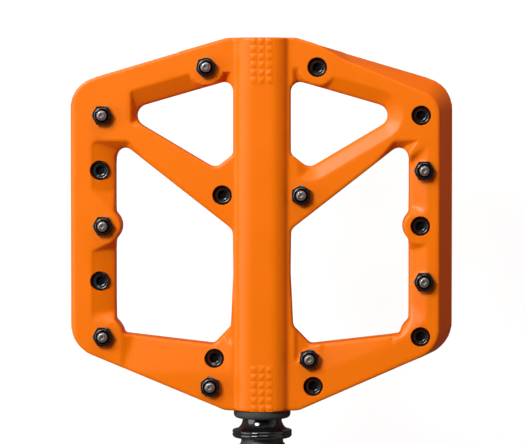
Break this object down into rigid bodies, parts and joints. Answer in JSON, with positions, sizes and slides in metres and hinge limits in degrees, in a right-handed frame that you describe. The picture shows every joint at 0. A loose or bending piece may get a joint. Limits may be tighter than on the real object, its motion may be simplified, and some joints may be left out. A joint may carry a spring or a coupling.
{
  "type": "flat bicycle pedal",
  "caption": "Flat bicycle pedal: an open moulded platform with screw-in grip pins on both faces, turning on a steel spindle with a crank thread.",
  "frame": {"origin": "on the spindle axis, in the plane of the shoulder that bears on the crank arm", "axes": "+Y along the spindle toward the outboard end, +Z out of the upper tread face, +X across the tread to the edge that leans in at the top"},
  "size_m": [0.114, 0.1321, 0.0204],
  "materials": {
    "orange_nylon": "satin moulded nylon",
    "spindle_steel": "glossy black plating",
    "pin_steel": "black oxide",
    "bright_steel": "ground steel",
    "seal_rubber": "matt moulded rubber",
    "bearing_plastic": "moulded bearing plastic",
    "cap_alloy": "black anodised"
  },
  "bodies": {
    "axle": {"spindle": "spindle_steel", "bearing_inner_ring": "bright_steel", "axle_washer": "bright_steel", "axle_lock_nut": "bright_steel"},
    "platform": {"platform_body": "orange_nylon", "inboard_seal": "seal_rubber", "glide_bushing": "bearing_plastic", "bearing_outer_ring": "bright_steel", "bearing_shield_inboard": "bright_steel", "bearing_shield_outboard": "bright_steel", "end_cap": "cap_alloy", "cap_o_ring": "seal_rubber", "pin_screw_outer_arm_up": "pin_steel", "pin_screw_outer_arm_down": "pin_steel", "pin_screw_outer_corner_up": "pin_steel", "pin_screw_outer_corner_down": "pin_steel", "pin_screw_rail_front_up": "pin_steel", "pin_screw_rail_front_down": "pin_steel", "pin_screw_rail_middle_up": "pin_steel", "pin_screw_rail_middle_down": "pin_steel", "pin_screw_rail_rear_up": "pin_steel", "pin_screw_rail_rear_down": "pin_steel", "pin_screw_inner_corner_up": "pin_steel", "pin_screw_inner_corner_down": "pin_steel", "pin_screw_axle_middle_up": "pin_steel", "pin_screw_axle_middle_down": "pin_steel", "pin_screw_axle_inner_up": "pin_steel", "pin_screw_axle_inner_down": "pin_steel", "pin_screw_inner_arm_up": "pin_steel", "pin_screw_inner_arm_down": "pin_steel", "pin_nut_outer_arm_up": "pin_steel", "pin_nut_outer_arm_down": "pin_steel", "pin_nut_outer_corner_up": "pin_steel", "pin_nut_outer_corner_down": "pin_steel", "pin_nut_rail_front_up": "pin_steel", "pin_nut_rail_front_down": "pin_steel", "pin_nut_rail_middle_up": "pin_steel", "pin_nut_rail_middle_down": "pin_steel", "pin_nut_rail_rear_up": "pin_steel", "pin_nut_rail_rear_down": "pin_steel", "pin_nut_inner_corner_up": "pin_steel", "pin_nut_inner_corner_down": "pin_steel", "pin_nut_axle_middle_up": "pin_steel", "pin_nut_axle_middle_down": "pin_steel", "pin_nut_axle_inner_up": "pin_steel", "pin_nut_axle_inner_down": "pin_steel", "pin_nut_inner_arm_up": "pin_steel", "pin_nut_inner_arm_down": "pin_steel"},
    "ball_set": {"ball_cage": "bearing_plastic", "bearing_ball_1": "bright_steel", "bearing_ball_2": "bright_steel", "bearing_ball_3": "bright_steel", "bearing_ball_4": "bright_steel", "bearing_ball_5": "bright_steel", "bearing_ball_6": "bright_steel", "bearing_ball_7": "bright_steel"}
  },
  "joints": [
    {"name": "platform_spin", "type": "hinge", "parent": "axle", "child": "platform", "pos_m": [0, 0.06, 0], "axis": [0, 1, 0], "continuous": true},
    {"name": "cage_spin", "type": "hinge", "parent": "axle", "child": "ball_set", "pos_m": [0, 0.10285, 0], "axis": [0, 1, 0], "continuous": true}
  ],
  "couplings": [
    {"joint": "cage_spin", "follows": "platform_spin", "ratio": 0.5952}
  ]
}
